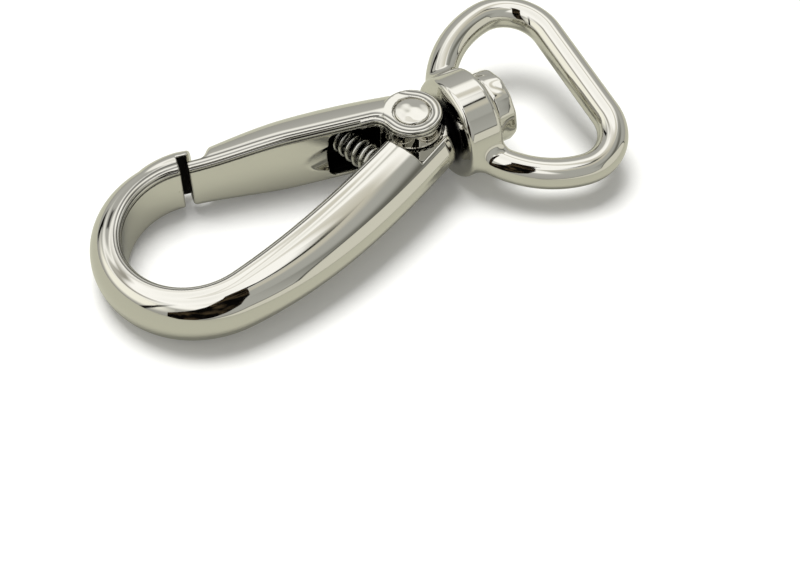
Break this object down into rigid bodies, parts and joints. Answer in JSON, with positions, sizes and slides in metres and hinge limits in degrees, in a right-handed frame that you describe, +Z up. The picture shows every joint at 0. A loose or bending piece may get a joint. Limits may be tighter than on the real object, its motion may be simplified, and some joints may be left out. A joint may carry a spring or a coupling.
{
  "type": "swivel snap hook",
  "caption": "Swivel snap hook with a round bow, a sprung snap gate on a riveted pivot and a D-shaped strap loop that turns on the neck.",
  "frame": {"origin": "centre of the bounding box's bottom, on the surface the hook lies on", "axes": "+X from the bow towards the strap loop, +Y towards the gate's side, +Z up off the surface the hook lies on"},
  "size_m": [0.0631, 0.0266, 0.0122],
  "materials": {
    "plated_casting": "polished nickel plate over a zinc casting",
    "plated_rivet": "nickel plate on steel",
    "spring_steel": "bright drawn spring wire"
  },
  "bodies": {
    "hook": {"hook_body": "plated_casting", "gate_spring": "spring_steel"},
    "gate": {"gate": "plated_casting", "gate_rivet": "plated_rivet"},
    "loop": {"swivel_loop": "plated_casting"}
  },
  "joints": [
    {"name": "gate_pivot", "type": "hinge", "parent": "hook", "child": "gate", "pos_m": [0.00771, 0.0009, 0.0057], "axis": [-0.0649, 0, 0.9979], "range_deg": [0, 22], "stiffness_Nm_per_rad": 0.3, "springref_deg": -13.18, "deforming": ["gate_spring"]},
    {"name": "swivel", "type": "hinge", "parent": "hook", "child": "loop", "pos_m": [0.0116, 0, 0.00595], "axis": [0.9979, 0, 0.0649], "continuous": true}
  ]
}
